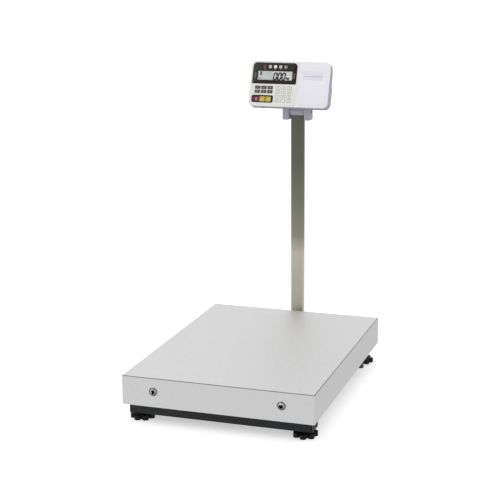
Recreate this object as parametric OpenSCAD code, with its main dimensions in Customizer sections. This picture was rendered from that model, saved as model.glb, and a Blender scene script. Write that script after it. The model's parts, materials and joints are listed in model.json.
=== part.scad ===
// Label printing bench scale: a sheet-metal pan on a single-point load cell,
// a tubular base on four star-knob feet, and a tilting head with a label printer
// on a pole behind the pan. The operator stands at -Y, the pole is at +Y.

/* [Weighing pan] */
// Width of the pan, left to right
pan_w = 600; // [560:10:640]
// Depth of the pan, front to back
pan_d = 800; // [760:10:840]
// Height of the folded skirt
skirt_h = 91; // [85:1:92]
// Height of the pan's top above the floor
pan_top = 146; // [146:1:150]
// Thickness of the pan sheet
pan_t = 1.5; // [1:0.1:1.5]
// Outer radius of the bends round the top
pan_bend = 3; // [2.5:0.1:4]
// Distance of each pan screw from the middle
screw_x = 200; // [150:5:220]
// Height of the pan screws above the floor
screw_z = 103.5; // [100:0.5:110]

/* [Base] */
// Length of the cross tubes without their end caps
cross_len = 566; // [540:2:570]
// Length of the rear cross tube without its end caps
rear_len = 538; // [536:2:550]
// Depth of the cross tubes, front to back
cross_d = 60; // [56:1:60]
// Height of the base tubes
base_h = 40; // [38:1:40]
// Wall of the base tubes
tube_t = 2.5; // [2:0.1:3]
// Height of the base tubes above the floor
base_z = 20.5; // [20.5:0.5:24]
// Distance of the feet from the middle, left to right
foot_x = 257; // [240:1:258]
// Distance of the feet from the middle, front to back
foot_y = 348; // [340:1:350]

/* [Levelling feet] */
// Radius of the star knob over its lobes
knob_r = 38; // [34:1:40]
// Radius of one lobe
lobe_r = 10; // [8:0.5:11]
// Number of lobes
lobes = 7; // [5:1:8]
// Thickness of the knob
knob_h = 14; // [12:1:14]
// Diameter of the threaded stud
stud_d = 12; // [10:1:14]

/* [Pole] */
// Width of the pole
pole_w = 44; // [38:1:44]
// Depth of the pole
pole_d = 22; // [20:1:24]
// Wall of the pole
pole_t = 1.5; // [1.2:0.1:2]
// Distance from the pan's middle to the pole's front face
pole_y = 421; // [418:1:424]
// Height of the pole's top above the floor
pole_top = 833; // [700:1:900]

/* [Head] */
// Width of the head
head_w = 279; // [279:1:285]
// Height of the head along its face
head_h = 158; // [158:1:162]
// Depth of the head at its belly
head_d = 47; // [46:0.5:48]
// Radius of the head's corners
head_r = 16; // [12:1:18]
// Lean of the face back from upright
head_lean = 20; // [0:1:40]
// Sideways place of the head's middle
head_x = -22; // [-30:1:0]
// Wall of the head's shells
shell_t = 2.5; // [2:0.1:2.5]

/* [Printer] */
// Width of the label roll
label_w = 58; // [50:1:58]
// Diameter of the full label roll
roll_d = 36; // [30:1:36]
// Diameter of the platen roller
platen_d = 10; // [8:1:10]
// Teeth on the motor's pinion
pinion_teeth = 12; // [10:1:14]
// Teeth on the platen's gear
gear_teeth = 24; // [20:1:26]
// Gear module
gear_m = 0.6; // [0.5:0.05:0.6]

/* [Hidden] */
$fn = 48;

// the origin sits under the middle of the whole object's box
plate_back = 462;
cup_out = 2.6;
screw_out = 1.4;
y_mid = (plate_back - pan_d / 2 - cup_out - screw_out) / 2;

// fits
run_gap = 0.05;
clear = 0.5;

// levels through the platform, from the floor up
base_top = base_z + base_h;
spacer_t = 5;
cell_z = base_top + spacer_t;
cell_h = 38;
beam_z = cell_z + cell_h + spacer_t;
pan_under = pan_top - pan_t;
pad_t = 6;
plat_top = pan_under - pad_t;
beam_h = plat_top - beam_z;
arm_h = 50;
arm_d = 30;
arm_y = pan_d / 2 - pan_t - clear - arm_d / 2;
beam_w = 80;
cell_w = 74;
cell_l = 190;
cell_bolt_y = 72;
cell_bolt_x = 24;
rail_w = 40;
rail_h = 30;
rail_x = 245;
cross_in = foot_y - cross_d / 2;
level_x = 288;
level_y = 200;
level_z = 30;

// the socket that holds the pole's foot
bracket_t = 5;
bracket_top = 112;
bracket_half = pole_w / 2 + 0.2;
pole_bolt_z = [50, 92];

// the head's tilt axis and its place in the head's own frame
tilt_y = pole_y + 9;
barrel_r = 13;
tilt_z = pole_top + barrel_r;
lug_in = 27;
lug_w = 22;
lug_out = lug_in + lug_w;
face_y = 400;
face_z = pan_top + 794;
tilt_bolt_d = 8;

// the head's own frame: x to the right, y back from the face, z up along the face
half_h = head_h / 2;
// depth of the white front case, and of the screw posts behind it
case_d = 4;
post_d = 12;
// groove between the keys' side and the printer's side
split_x = 29;
panel_t = 2.5;
socket_x = -90;
socket_y = 22;

// the display
bezel = [-132, 24, -1.5, 72];
glass = [-113.5, 8.5, 12, 43];
lamp_z = 58;
lamp_pitch = 18.4;
lamp_x0 = -90.5;
lamp_size = 11;

// the keys: x of the columns, z of the rows
fkey = [18.5, 10.5];
fkey_x = [-109.5, -87.3, -65.2];
fkey_z = [-14.5, -28.5];
big_key = [19, 17.5];
big_x = [-111, -89.7, -68.4];
big_z = -54.5;
surround = [-128, -52, -66.5, -41];
key_out = 1.2;
key_travel = 0.8;
num_key = [16.5, 12];
num_x = [-37, -17, 3.3];
num_z = [-15, -29.5, -44, -58.5];

// the label printer
cover = [36, 132, -70, 44];
window = [47, 117, 15.5, 40];
window_deep = 1.3;
slot_z = [26, 29];
pin_d = 2;
barrel_d = 4;
hinge_z = cover[2] + barrel_d / 2;
hinge_y = barrel_d / 2;
print_x = (cover[0] + cover[1]) / 2;
roll_z = -36;
roll_y = 24;
platen_z = 20;
platen_y = 20;
cheek_in = label_w / 2 + 1.5;
cheek_t = 2.5;
hub_d = 13;
gear_x = print_x + cheek_in + cheek_t + 4;
gear_w = 4;
motor_x = gear_x + gear_w / 2 + 2.6;
gear_gap = gear_m * (gear_teeth + pinion_teeth) / 2;

// ---------- shared shapes ----------

module on_floor() {
  translate([0, -y_mid, 0]) children();
}

module in_head() {
  on_floor()
    translate([head_x, face_y, face_z])
      rotate([-head_lean, 0, 0]) children();
}

// a flat rectangle with round corners
module round_rect(size, r) {
  square([size[0], size[1] - 2 * r], center = true);
  square([size[0] - 2 * r, size[1]], center = true);
  for (x = [-1, 1], y = [-1, 1])
    translate([x * (size[0] / 2 - r), y * (size[1] / 2 - r)]) circle(r);
}

// a slab in the head, given by its x and z limits and its depth
module slab(box, y0, y1, r) {
  translate([(box[0] + box[1]) / 2, y1, (box[2] + box[3]) / 2])
    rotate([90, 0, 0]) linear_extrude(y1 - y0)
      round_rect([box[1] - box[0], box[3] - box[2]], r);
}

function around(x, z, size) =
  [x - size[0] / 2, x + size[0] / 2, z - size[1] / 2, z + size[1] / 2];

function grow(box, by) = [box[0] - by, box[1] + by, box[2] - by, box[3] + by];

// a square tube along X, centred
module tube_x(length, depth, height, wall, r = 3) {
  rotate([90, 0, 90]) linear_extrude(length, center = true) difference() {
    round_rect([depth, height], r);
    square([depth - 2 * wall, height - 2 * wall], center = true);
  }
}

// a square tube along Y, centred
module tube_y(length, width, height, wall, r = 3) {
  rotate([90, 0, 0]) linear_extrude(length, center = true) difference() {
    round_rect([width, height], r);
    square([width - 2 * wall, height - 2 * wall], center = true);
  }
}

module hex(across, height) {
  cylinder(d = across / cos(30), h = height, $fn = 6);
}

// a hexagon-head bolt pointing down from the origin
module hex_bolt(d, length) {
  hex(1.6 * d, 0.6 * d);
  translate([0, 0, -length]) cylinder(d = d, h = length + 0.1);
}

// a rod along X, centred
module rod_x(d, length) {
  rotate([0, 90, 0]) cylinder(d = d, h = length, center = true);
}

module at_feet() {
  for (x = [-1, 1], y = [-1, 1]) translate([x * foot_x, y * foot_y, 0]) children();
}

// a spur gear along X: a disc with simple trapezoid teeth
module spur(teeth, width, bore) {
  r_root = gear_m * (teeth / 2 - 1.2);
  r_tip = gear_m * (teeth / 2 + 0.8);
  half_tip = gear_m * 0.32;
  half_root = gear_m * 0.95;
  rotate([0, 90, 0]) linear_extrude(width, center = true) difference() {
    union() {
      circle(r_root);
      for (i = [0 : teeth - 1]) rotate(360 * i / teeth)
        polygon([[r_root - 0.3, -half_root], [r_tip, -half_tip],
                 [r_tip, half_tip], [r_root - 0.3, half_root]]);
    }
    circle(d = bore);
  }
}

// ---------- base ----------

module cross_tube(y, long) {
  on_floor() translate([0, y, 0]) difference() {
    translate([0, 0, base_z + base_h / 2]) tube_x(long, cross_d, base_h, tube_t);
    for (x = [-1, 1]) translate([x * foot_x, 0, 0])
      cylinder(d = stud_d + 2 * run_gap, h = base_z + base_h / 2);
    if (y > 0) for (x = [-40, 40]) translate([x, -10, 0])
      cylinder(d = 8.5, h = base_z + base_h / 2);
  }
}

module front_cross_tube() { color("#22262b") cross_tube(-foot_y, cross_len); }

module rear_cross_tube() { color("#22262b") cross_tube(foot_y, rear_len); }

module base_beam() {
  color("#22262b") on_floor() difference() {
    translate([0, 0, base_z + base_h / 2]) tube_y(2 * cross_in, 100, base_h, tube_t);
    for (x = [-1, 1], y = [-1, 1])
      translate([x * cell_bolt_x, -cell_bolt_y + y * 15, base_z + base_h / 2])
        cylinder(d = 10.5, h = base_h);
  }
}

module base_side_rails() {
  color("#22262b") on_floor() for (x = [-1, 1])
    translate([x * rail_x, 0, base_top - rail_h / 2]) tube_y(2 * cross_in, rail_w, rail_h, 2);
}

module tube_end_caps() {
  cap_t = 4;
  color("#101113") on_floor() for (x = [-1, 1], y = [-1, 1]) {
    plug = y < 0 ? 14 : 4;
    translate([x * (y < 0 ? cross_len : rear_len) / 2, y * foot_y, base_z + base_h / 2]) {
      translate([x * cap_t / 2, 0, 0]) rotate([90, 0, 90])
        linear_extrude(cap_t, center = true) round_rect([cross_d, base_h], 3);
      translate([-x * plug / 2, 0, 0])
        cube([plug + 0.2, cross_d - 2 * tube_t - 0.2, base_h - 2 * tube_t - 0.2], center = true);
    }
  }
}

// a star knob with its stud moulded in; the stud rises into the cross tube
module foot(x, y, turn) {
  ring = knob_r - lobe_r;
  on_floor() translate([x * foot_x, y * foot_y, 0]) rotate(turn) {
    difference() {
      linear_extrude(knob_h) {
        circle(ring - 3);
        for (i = [0 : lobes - 1]) rotate(360 * i / lobes) {
          translate([ring, 0]) circle(lobe_r);
          translate([ring / 2, 0]) square([ring, 1.7 * lobe_r], center = true);
        }
      }
      translate([0, 0, -1]) cylinder(r = 14, h = 4);
    }
    translate([0, 0, 3 - 0.01]) cylinder(d = stud_d, h = base_z + base_h - 8);
  }
}

module foot_front_left() { color("#0b0b0c") foot(-1, -1, 50); }

module foot_front_right() { color("#0b0b0c") foot(1, -1, 16); }

module foot_rear_left() { color("#0b0b0c") foot(-1, 1, 24); }

module foot_rear_right() { color("#0b0b0c") foot(1, 1, 7); }

module foot_lock_nuts() {
  nut_h = base_z - knob_h;
  color("#b8b8ba") on_floor() at_feet() translate([0, 0, knob_h]) difference() {
    hex(19, nut_h);
    translate([0, 0, -1]) cylinder(d = stud_d + 2 * run_gap, h = nut_h + 2);
  }
}

// a round bubble level on a tab from the right side rail
module level_housing() {
  tab_x = rail_x + rail_w / 2;
  color("#2b2b2e") on_floor() difference() {
    union() {
      translate([level_x, level_y, level_z]) cylinder(d = 20, h = 11);
      translate([tab_x, level_y - 8, level_z + 2]) cube([level_x - tab_x, 16, 6]);
    }
    translate([level_x, level_y, level_z + 3]) cylinder(d = 15, h = 10);
  }
}

module level_vial() {
  color("#a8b070") on_floor() translate([level_x, level_y, level_z + 3]) {
    cylinder(d = 14.8, h = 6);
    translate([0, 0, 6]) cylinder(d1 = 14.8, d2 = 10, h = 1.4);
  }
}

// ---------- load cell and platform ----------

// holes through the cell, in pairs at one end
module cell_pattern(side) {
  for (x = [-1, 1], y = [-1, 1])
    translate([x * cell_bolt_x, side * cell_bolt_y + y * 15, 0]) children();
}

module load_cell() {
  color("#b9bcc0") on_floor() translate([0, 0, cell_z]) difference() {
    translate([-cell_w / 2, -cell_l / 2, 0]) cube([cell_w, cell_l, cell_h]);
    for (y = [-20, 20]) translate([0, y, cell_h / 2]) rod_x(26, cell_w + 2);
    translate([-cell_w / 2 - 1, -20, cell_h / 2 - 6]) cube([cell_w + 2, 40, 12]);
    translate([0, 0, -1]) cell_pattern(-1) cylinder(d = 10.2, h = 16);
    translate([0, 0, cell_h - 15]) cell_pattern(1) cylinder(d = 10.2, h = 16);
  }
}

module cell_spacers() {
  pad_l = 46;
  color("#6a6d72") on_floor() {
    difference() {
      translate([-cell_w / 2, -cell_bolt_y - pad_l / 2, base_top]) cube([cell_w, pad_l, spacer_t]);
      translate([0, 0, base_top - 1]) cell_pattern(-1) cylinder(d = 10.5, h = spacer_t + 2);
    }
    difference() {
      translate([-cell_w / 2, cell_bolt_y - pad_l / 2, cell_z + cell_h]) cube([cell_w, pad_l, spacer_t]);
      translate([0, 0, cell_z + cell_h - 1]) cell_pattern(1) cylinder(d = 10.5, h = spacer_t + 2);
    }
  }
}

module load_cell_bolts() {
  low = base_top - tube_t;
  high = beam_z + tube_t;
  color("#9a9ca0") on_floor() {
    translate([0, 0, low]) mirror([0, 0, 1]) cell_pattern(-1) hex_bolt(10, 18);
    translate([0, 0, high]) cell_pattern(1) hex_bolt(10, 18);
  }
}

module overload_stops() {
  color("#8c8e92") on_floor() for (x = [-1, 1], y = [-1, 1])
    translate([x * 28, y * 230, base_top]) {
      hex(16, 8);
      cylinder(d = 10, h = beam_z - base_top - 1.5);
    }
}

module platform_beam() {
  color("#2a2d31") on_floor() translate([0, 0, beam_z + beam_h / 2]) difference() {
    tube_y(2 * arm_y - arm_d, beam_w, beam_h, tube_t);
    translate([0, 0, -beam_h / 2 - 1]) cell_pattern(1) cylinder(d = 10.5, h = tube_t + 2);
    for (x = [-1, 1], y = [-1, 1])
      translate([x * cell_bolt_x, cell_bolt_y + y * 15, 0]) cylinder(d = 20, h = beam_h);
  }
}

module platform_arms() {
  arm_len = pan_w - 2 * pan_t - 24;
  color("#2a2d31") on_floor() for (y = [-1, 1])
    translate([0, y * arm_y, plat_top - arm_h / 2]) difference() {
      tube_x(arm_len, arm_d, arm_h, tube_t);
      if (y < 0) for (x = [-1, 1])
        translate([x * screw_x, -arm_d / 2, screw_z - plat_top + arm_h / 2])
          rotate([90, 0, 0]) cylinder(d = 8 + 2 * run_gap, h = 12, center = true);
    }
}

module pan_pads() {
  color("#1a1a1a") on_floor() {
    for (x = [-1, 1], y = [-1, 1]) translate([x * (pan_w / 2 - 50), y * arm_y, plat_top])
      cylinder(d = 26, h = pad_t);
    for (y = [-1, 1]) translate([0, y * 160, plat_top]) cylinder(d = 26, h = pad_t);
  }
}

// a box open below with its top edges bent to a radius
module folded_box(w, d, h, r) {
  intersection() {
    rotate([90, 0, 0]) linear_extrude(d, center = true) bent_outline(w, h, r);
    rotate([90, 0, 90]) linear_extrude(w, center = true) bent_outline(d, h, r);
  }
}

module bent_outline(w, h, r) {
  translate([-w / 2, 0]) square([w, h - r]);
  translate([-w / 2 + r, 0]) square([w - 2 * r, h]);
  for (x = [-1, 1]) translate([x * (w / 2 - r), h - r]) circle(r);
}

module pan() {
  color("#d4d4d5") on_floor() difference() {
    translate([0, 0, pan_top - skirt_h]) folded_box(pan_w, pan_d, skirt_h, pan_bend);
    translate([0, 0, pan_top - skirt_h - 1])
      folded_box(pan_w - 2 * pan_t, pan_d - 2 * pan_t, skirt_h - pan_t + 1, pan_bend - pan_t);
    for (x = [-1, 1]) translate([x * screw_x, -pan_d / 2, screw_z])
      rotate([90, 0, 0]) cylinder(d = 8.6, h = 10, center = true);
  }
}

module screw_cups() {
  color("#c9cacc") on_floor() for (x = [-1, 1])
    translate([x * screw_x, -pan_d / 2, screw_z]) rotate([90, 0, 0]) difference() {
      cylinder(d1 = 27, d2 = 22, h = cup_out);
      translate([0, 0, 0.8]) cylinder(d1 = 9, d2 = 21.4, h = cup_out);
      translate([0, 0, -1]) cylinder(d = 8.6, h = 5);
    }
}

module pan_screws() {
  color("#dcdde0") on_floor() for (x = [-1, 1])
    translate([x * screw_x, -pan_d / 2 - 0.8, screw_z]) rotate([90, 0, 0]) difference() {
      union() {
        translate([0, 0, 0.05]) cylinder(d1 = 9, d2 = 17.4, h = 1.75);
        translate([0, 0, 1.8]) cylinder(d1 = 17.4, d2 = 14, h = 1.4);
        translate([0, 0, -18]) cylinder(d = 8, h = 18.2);
      }
      translate([0, 0, 0.4]) hex(8, 4);
    }
}

// ---------- pole ----------

module pole_bracket() {
  plate_w = 120;
  plate_t = 6;
  back = pole_y + pole_d + 0.2;
  color("#22262b") on_floor() difference() {
    union() {
      translate([-plate_w / 2, foot_y - 18, base_z - plate_t])
        cube([plate_w, plate_back - foot_y + 18, plate_t]);
      for (x = [-1, 1]) translate([x * (bracket_half + bracket_t / 2), 0, 0])
        translate([-bracket_t / 2, pole_y - 4, base_z - 0.01])
          cube([bracket_t, back - pole_y + 4 + bracket_t, bracket_top - base_z]);
      translate([-bracket_half - 1, back, base_z - 0.01])
        cube([2 * bracket_half + 2, bracket_t, bracket_top - base_z]);
    }
    for (x = [-40, 40]) translate([x, foot_y - 10, 0]) cylinder(d = 8.5, h = base_z + 1);
    for (z = pole_bolt_z) translate([0, pole_y + pole_d / 2, z]) rod_x(8.4, 100);
  }
}

module bracket_bolts() {
  color("#9a9ca0") on_floor() for (x = [-40, 40])
    translate([x, foot_y - 10, base_z - 6]) mirror([0, 0, 1]) hex_bolt(8, 20);
}

module pole() {
  color("#83857a") on_floor() difference() {
    translate([0, pole_y + pole_d / 2, base_z]) linear_extrude(pole_top - base_z) difference() {
      round_rect([pole_w, pole_d], 2.5);
      round_rect([pole_w - 2 * pole_t, pole_d - 2 * pole_t], 1);
    }
    for (z = pole_bolt_z) translate([0, pole_y + pole_d / 2, z]) rod_x(8.4, 100);
  }
}

module pole_bolts() {
  half = bracket_half + bracket_t;
  color("#b8b8ba") on_floor() for (z = pole_bolt_z)
    translate([0, pole_y + pole_d / 2, z]) {
      rod_x(8, 2 * half + 14);
      translate([half, 0, 0]) rotate([0, 90, 0]) hex(13, 5.5);
      translate([-half, 0, 0]) rotate([0, -90, 0]) hex(13, 6.5);
    }
}

// a plug in the pole's top that flares up to the barrel of the tilt hinge
module head_post() {
  neck = tilt_z - pole_top;
  color("#9a98a6") on_floor() difference() {
    union() {
      translate([0, pole_y + pole_d / 2, pole_top - 60]) linear_extrude(60.01)
        round_rect([pole_w - 2 * pole_t - 0.1, pole_d - 2 * pole_t - 0.1], 0.95);
      translate([0, tilt_y, pole_top])
        rotate([90, 0, 0]) linear_extrude(2 * barrel_r - 8, center = true)
          polygon([[-pole_w / 2, 0], [pole_w / 2, 0], [lug_in - 1, neck - 4], [lug_in - 1, neck],
                   [1 - lug_in, neck], [1 - lug_in, neck - 4]]);
      translate([0, tilt_y, tilt_z]) rod_x(2 * barrel_r, 2 * lug_in - 2);
    }
    translate([0, tilt_y, tilt_z]) rod_x(tilt_bolt_d + 2 * run_gap, 100);
  }
}

module friction_washers() {
  color("#e8e6dc") on_floor() for (x = [-1, 1])
    translate([x * (lug_in - 0.5), tilt_y, tilt_z]) difference() {
      rod_x(22, 1);
      rod_x(tilt_bolt_d + 2 * run_gap, 2);
    }
}

module tilt_bolt() {
  color("#b8b8ba") on_floor() translate([0, tilt_y, tilt_z]) {
    translate([-2, 0, 0]) rod_x(tilt_bolt_d, 2 * lug_out - 8);
    translate([-lug_out + 4, 0, 0]) rotate([0, -90, 0]) hex(13, 3);
  }
}

module tilt_nut() {
  color("#b8b8ba") on_floor() translate([lug_out - 9, tilt_y, tilt_z]) difference() {
    rotate([0, 90, 0]) hex(13, 6);
    rod_x(tilt_bolt_d + 2 * run_gap, 40);
  }
}

// ---------- head shells ----------

// side outline of the rear housing: y back from the face, z up
function shell_side(in) = [
  [case_d - (in > 0 ? 1 : 0), -half_h + in],
  [32, -half_h + in],
  [head_d - in, -56],
  [head_d - in, -6],
  [38 - in, 6],
  [36 - in, 44],
  [22 - in, half_h - in],
  [case_d - (in > 0 ? 1 : 0), half_h - in]
];

module shell_body(in) {
  intersection() {
    rotate([90, 0, 90]) linear_extrude(head_w - 2 * in, center = true) polygon(shell_side(in));
    translate([0, head_d, 0]) rotate([90, 0, 0]) linear_extrude(head_d + 1)
      round_rect([head_w - 2 * in, head_h - 2 * in], head_r - in);
  }
}

// the two ears that hold the tilt bolt, upright in the room
module lugs() {
  depth = 32;
  low = tilt_z - 30;
  r = 5;
  on_floor() for (x = [-1, 1]) translate([x * (lug_in + lug_w / 2), 0, 0]) {
    intersection() {
      translate([0, tilt_y - 2, tilt_z + 2]) rotate([90, 0, 0])
        linear_extrude(depth, center = true) round_rect([lug_w, 64], r);
      translate([0, tilt_y - 2, tilt_z + 2]) rotate([90, 0, 90])
        linear_extrude(lug_w, center = true) round_rect([depth, 64], r);
    }
  }
}

// the four screws that close the head: x, z and the depth of the seat under each head
case_screw = [[-122, 62, 24], [122, 62, 24], [-112, -73, 31], [112, -73, 31]];
post_w = 6.4;
screw_hole = 3.1;

module at_case_screws() {
  for (s = case_screw) translate([s[0], 0, s[1]]) rotate([-90, 0, 0]) children();
}

module rear_housing() {
  color("#9c9aa8") difference() {
    union() {
      in_head() difference() {
        shell_body(0);
        shell_body(shell_t);
      }
      difference() {
        lugs();
        in_head() shell_body(shell_t);
      }
      in_head() intersection() {
        at_case_screws() translate([0, 0, post_d]) cylinder(d = post_w, h = head_d);
        shell_body(0);
      }
    }
    on_floor() translate([0, tilt_y, tilt_z]) {
      rod_x(tilt_bolt_d + 2 * run_gap, 200);
      for (x = [-1, 1]) translate([x * lug_out, 0, 0]) rotate([0, 90, 0])
        cylinder(d = 13.4 / cos(30), h = x < 0 ? 8 : 18, center = true, $fn = 6);
    }
    in_head() {
      translate([socket_x, socket_y, -half_h]) cube([14, 12, 12], center = true);
      at_case_screws() cylinder(d = screw_hole, h = head_d + 1);
      for (s = case_screw) translate([s[0], s[2], s[1]]) rotate([-90, 0, 0])
        cylinder(d = 5.2, h = head_d);
    }
  }
}

module front_case() {
  boss_w = 4.5;
  color("#f0f0ee") in_head() difference() {
    union() {
      difference() {
        translate([0, case_d, 0]) rotate([90, 0, 0]) linear_extrude(case_d)
          round_rect([head_w, head_h], head_r);
        translate([0, case_d + 1, 0]) rotate([90, 0, 0]) linear_extrude(case_d + 1 - panel_t)
          round_rect([head_w - 2 * shell_t, head_h - 2 * shell_t], head_r - shell_t);
      }
      intersection() {
        at_case_screws() translate([0, 0, 1]) cylinder(d = post_w, h = post_d - 1);
        translate([0, post_d, 0]) rotate([90, 0, 0]) linear_extrude(post_d)
          round_rect([head_w, head_h], head_r);
      }
      for (x = [cover[0] - 0.4 - boss_w, cover[1] + 0.4])
        translate([x, 1, hinge_z - 3]) cube([boss_w, case_d - 1, 6]);
    }
    translate([print_x, hinge_y, hinge_z]) rod_x(pin_d + 2 * run_gap, cover[1] - cover[0] + 8);
    translate([0, 5, 0]) at_case_screws() cylinder(d = screw_hole, h = post_d);
    slab(grow(bezel, 0.2), -1, 1.2, 4.2);
    slab(grow(glass, 2), -1, 5, 1);
    slab(grow(surround, 0.2), -1, 1.2, 6.2);
    for (x = fkey_x, z = fkey_z) slab(grow(around(x, z, fkey), 0.4), -1, 5, 1.4);
    for (x = big_x) slab(grow(around(x, big_z, big_key), 0.4), -1, 5, 2.4);
    slab(grow(cover, 0.4), -1, 5, 3.4);
    slab([cover[0] - 0.4, cover[1] + 0.4, cover[2] - 0.4, cover[2] + 8], -1, 5, 0.1);
    slab([split_x - 0.3, split_x + 0.3, -half_h - 1, half_h + 1], -1, 0.5, 0.1);
    slab([-46.5, 13, -66.2, -7.4], -1, 0.4, 2);
  }
}

// ---------- display ----------

module display_bezel() {
  color("#262322") in_head() difference() {
    slab(bezel, -0.4, 1.2, 4);
    slab(glass, -1, 3, 1);
    for (i = [0 : 4])
      slab(around(lamp_x0 + i * lamp_pitch, lamp_z, [lamp_size, lamp_size]), -1, 3, 1.5);
  }
}

module status_lamps() {
  color("#b8b0b4") in_head() for (i = [0 : 4])
    slab(around(lamp_x0 + i * lamp_pitch, lamp_z, [lamp_size - 0.2, lamp_size - 0.2]), -0.6, 1.2, 1.4);
}

module display_window() {
  color("#c4c8c8", 0.4) in_head() slab(grow(glass, -0.1), -0.2, 1.2, 0.9);
}

module lcd_module() {
  color("#8f9590") in_head() {
    slab(grow(glass, 1.5), 1.3, 4, 1);
    slab(grow(glass, 5), 4, 8, 1);
  }
}

// ---------- keys ----------

module key(x, z, size, r) {
  in_head() {
    slab(around(x, z, size), -key_out, 5, r);
    slab(grow(around(x, z, size), 1), 3.2, 5, r);
  }
}

module key_power() { color("#8e2b55") key(big_x[0], big_z, big_key, 2); }

module key_zero() { color("#e0cf5a") key(big_x[1], big_z, big_key, 2); }

module key_tare() { color("#e0cf5a") key(big_x[2], big_z, big_key, 2); }

module key_f1() { color("#6e6e6c") key(fkey_x[0], fkey_z[0], fkey, 1); }

module key_f2() { color("#6e6e6c") key(fkey_x[1], fkey_z[0], fkey, 1); }

module key_f3() { color("#6e6e6c") key(fkey_x[2], fkey_z[0], fkey, 1); }

module key_f4() { color("#6e6e6c") key(fkey_x[0], fkey_z[1], fkey, 1); }

module key_f5() { color("#6e6e6c") key(fkey_x[1], fkey_z[1], fkey, 1); }

module key_f6() { color("#6e6e6c") key(fkey_x[2], fkey_z[1], fkey, 1); }

// a thin membrane with twelve raised pads
module number_pad() {
  color("#f2f2ec") in_head() {
    slab([-46.3, 12.8, -66, -7.6], -0.1, 0.4, 2);
    for (x = num_x, z = num_z) slab(around(x, z, num_key), -0.5, 0.2, 3);
  }
}

module key_frame() {
  color("#141214") in_head() difference() {
    slab(surround, -0.5, 1.2, 6);
    for (x = big_x) slab(grow(around(x, big_z, big_key), 0.4), -1, 3, 2.4);
  }
}

// the circuit board, with one small switch under each key
module main_board() {
  front = 9;
  switch = [6, 6];
  switch_front = 5 + key_travel + 0.1;
  color("#1f5a3a") in_head() difference() {
    union() {
      slab([-132, 22, -68, 68], front, front + 1.6, 2);
      for (x = fkey_x, z = fkey_z) slab(around(x, z, switch), switch_front, front + 0.1, 0.5);
      for (x = big_x) slab(around(x, big_z, switch), switch_front, front + 0.1, 0.5);
    }
    at_case_screws() cylinder(d = 8, h = 20);
  }
}

// ---------- label printer ----------

// two cheeks, a back plate and an outboard motor bracket
module printer_frame() {
  color("#3a3b40") in_head() translate([print_x, 0, 0]) difference() {
    union() {
      for (x = [-1, 1]) {
        translate([x * (cheek_in + cheek_t / 2) - cheek_t / 2, 8, -60]) cube([cheek_t, 22, 96]);
        translate([x * (cheek_in - 1.5), roll_y, roll_z]) rod_x(hub_d - 0.2, 5);
      }
      translate([-cheek_in - 1, 27.5, 0]) cube([2 * cheek_in + 2, 2.5, 36]);
      translate([cheek_in + 1, 10, -4]) cube([motor_x - print_x - cheek_in - 1, 20, 2]);
      translate([motor_x - print_x - 1.8, 10, -4]) cube([1.8, 20, 20]);
    }
    translate([0, platen_y, platen_z]) rod_x(5 + 2 * run_gap, 100);
    translate([motor_x - print_x, platen_y, platen_z - gear_gap]) rod_x(pin_d + 1, 10);
  }
}

// the door over the label roll, with its hinge barrel along the bottom edge
module printer_cover() {
  wide = cover[1] - cover[0];
  color("#e8e8f2") in_head() difference() {
    union() {
      intersection() {
        translate([print_x, 0, 0]) rotate([90, 0, 90]) linear_extrude(wide, center = true) {
          translate([hinge_y, hinge_z]) circle(d = barrel_d);
          translate([0, hinge_z]) square([panel_t, cover[3] - hinge_z]);
        }
        slab([cover[0], cover[1], cover[2] - 9, cover[3]], -1, barrel_d + 1, 3);
      }
      translate([print_x, panel_t + 1, -14]) cube([56, 3, 2], center = true);
    }
    translate([print_x, hinge_y, hinge_z]) rod_x(pin_d + 2 * run_gap, wide + 2);
    slab(window, -1, window_deep, 1);
    slab([window[0] + 4, window[1] - 3, slot_z[0], slot_z[1]], -1, 4, 0.5);
  }
}

module cover_pin() {
  color("#b8b8ba") in_head() translate([print_x, hinge_y, hinge_z])
    rod_x(pin_d, cover[1] - cover[0] + 7);
}

module label_roll() {
  color("#f4f3ee") in_head() translate([print_x, roll_y, roll_z]) difference() {
    rod_x(roll_d, label_w);
    rod_x(hub_d, label_w + 2);
  }
}

module platen_roller() {
  end = gear_x + gear_w / 2 - print_x + 1;
  color("#2c2c2e") in_head() translate([print_x, platen_y, platen_z]) {
    rod_x(platen_d, label_w);
    translate([(end - cheek_in - cheek_t) / 2, 0, 0]) rod_x(5, end + cheek_in + cheek_t);
  }
}

module platen_gear() {
  color("#e6e2d6") in_head() translate([gear_x, platen_y, platen_z]) spur(gear_teeth, gear_w, 5);
}

module motor_pinion() {
  color("#c8a85a") in_head() translate([gear_x, platen_y, platen_z - gear_gap])
    rotate([180 / pinion_teeth, 0, 0]) spur(pinion_teeth, gear_w, pin_d);
}

// the motor's can and its shaft
module feed_motor() {
  can = 9;
  color("#8d8f94") in_head() translate([motor_x, platen_y, platen_z - gear_gap]) {
    translate([can / 2, 0, 0]) rod_x(15, can);
    translate([-3, 0, 0]) rod_x(pin_d - 2 * run_gap, 6.4);
  }
}

module print_head() {
  color("#c7b48a") in_head() translate([print_x, 0, 0])
    translate([-label_w / 2 + 1, platen_y + platen_d / 2 + 0.4, platen_z - 10])
      cube([label_w - 2, 2.1, 20]);
}

module tear_bar() {
  front = 0.6;
  end_gap = 5;
  color("#c4c5c8") in_head() translate([window[0] + end_gap, front, slot_z[1] + 1])
    cube([window[1] - window[0] - 2 * end_gap, window_deep - front, 3]);
}

module power_socket() {
  color("#1b1b1d") in_head() translate([socket_x, socket_y, -half_h]) difference() {
    translate([0, 0, 5]) cube([13.6, 11.6, 10], center = true);
    translate([0, 0, -1]) cylinder(d = 6.5, h = 9);
  }
}

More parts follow.
